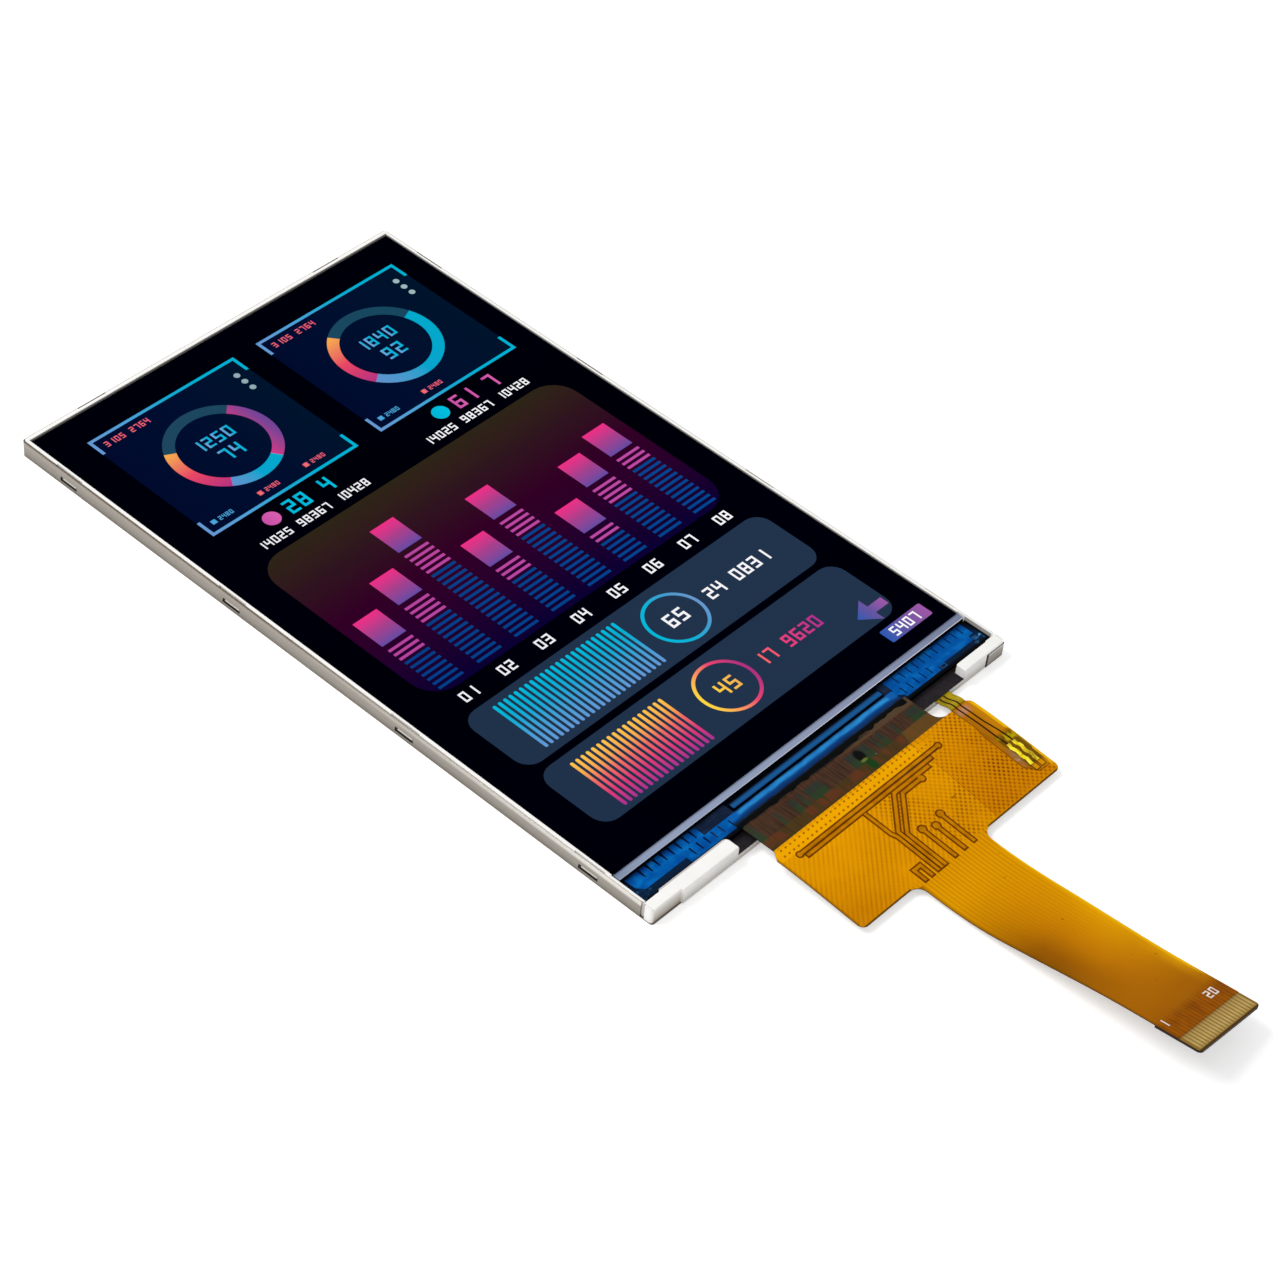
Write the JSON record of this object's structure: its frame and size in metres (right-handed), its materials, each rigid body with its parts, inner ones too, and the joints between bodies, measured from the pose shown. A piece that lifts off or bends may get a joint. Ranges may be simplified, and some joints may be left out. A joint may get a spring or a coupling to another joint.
{
  "type": "tft display module",
  "caption": "Small colour TFT display module: lit screen in a white frame and steel tray, with driver chip ledge, amber main flex and side flex for the backlight.",
  "frame": {"origin": "centre of the steel tray's flat back face", "axes": "+X along the module's short side, +Y towards the top of the screen (the flex leaves at -Y), +Z out of the screen"},
  "size_m": [0.0572, 0.1473, 0.0052],
  "materials": {
    "amber_base": "dark amber polyimide",
    "amber_flex": "amber polyimide",
    "array_glass": "glass with blue-looking thin films",
    "bar_blue": "lit area of the screen",
    "bar_cyan": "lit area of the screen",
    "bar_pink": "lit area of the screen",
    "bar_warm": "lit area of the screen",
    "bare_steel": "satin rolled stainless sheet",
    "black_tape": "matt black tape",
    "bond_film": "dark cured film",
    "bracket": "lit area of the screen",
    "cap_pink": "lit area of the screen",
    "capacitor": "beige ceramic, tinned ends",
    "caption_blue": "lit area of the screen",
    "caption_pink": "lit area of the screen",
    "card_navy": "lit area of the screen",
    "cell_seal": "grey glue line",
    "chart_maroon": "lit area of the screen",
    "chip": "polished silicon",
    "clear_guide": "clear polished acrylic",
    "copper": "copper seen through amber film",
    "dark_tape": "dark brown tape",
    "diffuser": "milky matt film",
    "dot_grey": "lit area of the screen",
    "figure_blue": "lit area of the screen",
    "figure_warm": "lit area of the screen",
    "figure_white": "lit area of the screen",
    "filter_glass": "clear glass over a dark mask",
    "gauge_cool": "lit area of the screen",
    "gauge_teal": "lit area of the screen",
    "gauge_violet": "lit area of the screen",
    "gauge_warm": "lit area of the screen",
    "gold_contact": "gold plating",
    "key_violet": "lit area of the screen",
    "lamp": "white case with yellow phosphor",
    "liquid_crystal": "thin fluid film",
    "polarizer": "glossy near-black film",
    "prism": "finely ribbed clear film",
    "progress_slate": "lit area of the screen",
    "reading_cyan": "lit area of the screen",
    "reading_magenta": "lit area of the screen",
    "rear_polarizer": "grey film",
    "reflector": "bright white film",
    "ring_cool": "lit area of the screen",
    "ring_warm": "lit area of the screen",
    "sealant": "clear cured sealant over blue film",
    "solder": "smooth solder",
    "stiffener": "dark brown board",
    "thin_film": "blue iridescent thin film",
    "thin_film_dark": "dark iridescent thin film",
    "white_frame": "matt white moulding",
    "white_ink": "white ink"
  },
  "bodies": {
    "root": {"steel_tray": "bare_steel", "mould_frame": "white_frame", "reflector_film": "reflector", "light_guide_plate": "clear_guide", "diffuser_film": "diffuser", "lower_prism_film": "prism", "upper_prism_film": "prism", "backlight_leds": "lamp", "backlight_flex": "amber_flex", "backlight_flex_tracks": "copper", "solder_joints": "solder", "rim_tape": "black_tape", "rear_polarizer": "rear_polarizer", "array_glass": "array_glass", "cell_seal": "cell_seal", "liquid_crystal_layer": "liquid_crystal", "colour_filter_glass": "filter_glass", "front_polarizer": "polarizer", "driver_chip": "chip", "chip_bond_film": "bond_film", "ledge_conductors": "thin_film", "ledge_marks": "thin_film_dark", "ledge_sealant": "sealant", "flex_bond_film": "bond_film", "flex_backing_tape": "dark_tape", "main_flex": "amber_base", "flex_coverlay": "amber_flex", "flex_tracks": "copper", "contact_stiffener": "stiffener", "contact_fingers": "gold_contact", "pin_numbers": "white_ink", "chip_capacitors": "capacitor", "card_fields": "card_navy", "card_brackets": "bracket", "gauge_arcs_teal": "gauge_teal", "gauge_arcs_warm": "gauge_warm", "gauge_arcs_cool": "gauge_cool", "gauge_arc_violet": "gauge_violet", "gauge_figures": "figure_blue", "menu_dots": "dot_grey", "pink_captions": "caption_pink", "cool_captions": "caption_blue", "cyan_reading": "reading_cyan", "magenta_reading": "reading_magenta", "white_figures": "figure_white", "chart_field": "chart_maroon", "chart_caps": "cap_pink", "chart_bars_pink": "bar_pink", "chart_bars_blue": "bar_blue", "progress_fields": "progress_slate", "progress_bars_cool": "bar_cyan", "progress_bars_warm": "bar_warm", "progress_ring_cool": "ring_cool", "progress_ring_warm": "ring_warm", "warm_figures": "figure_warm", "return_key": "key_violet"}
  },
  "joints": []
}
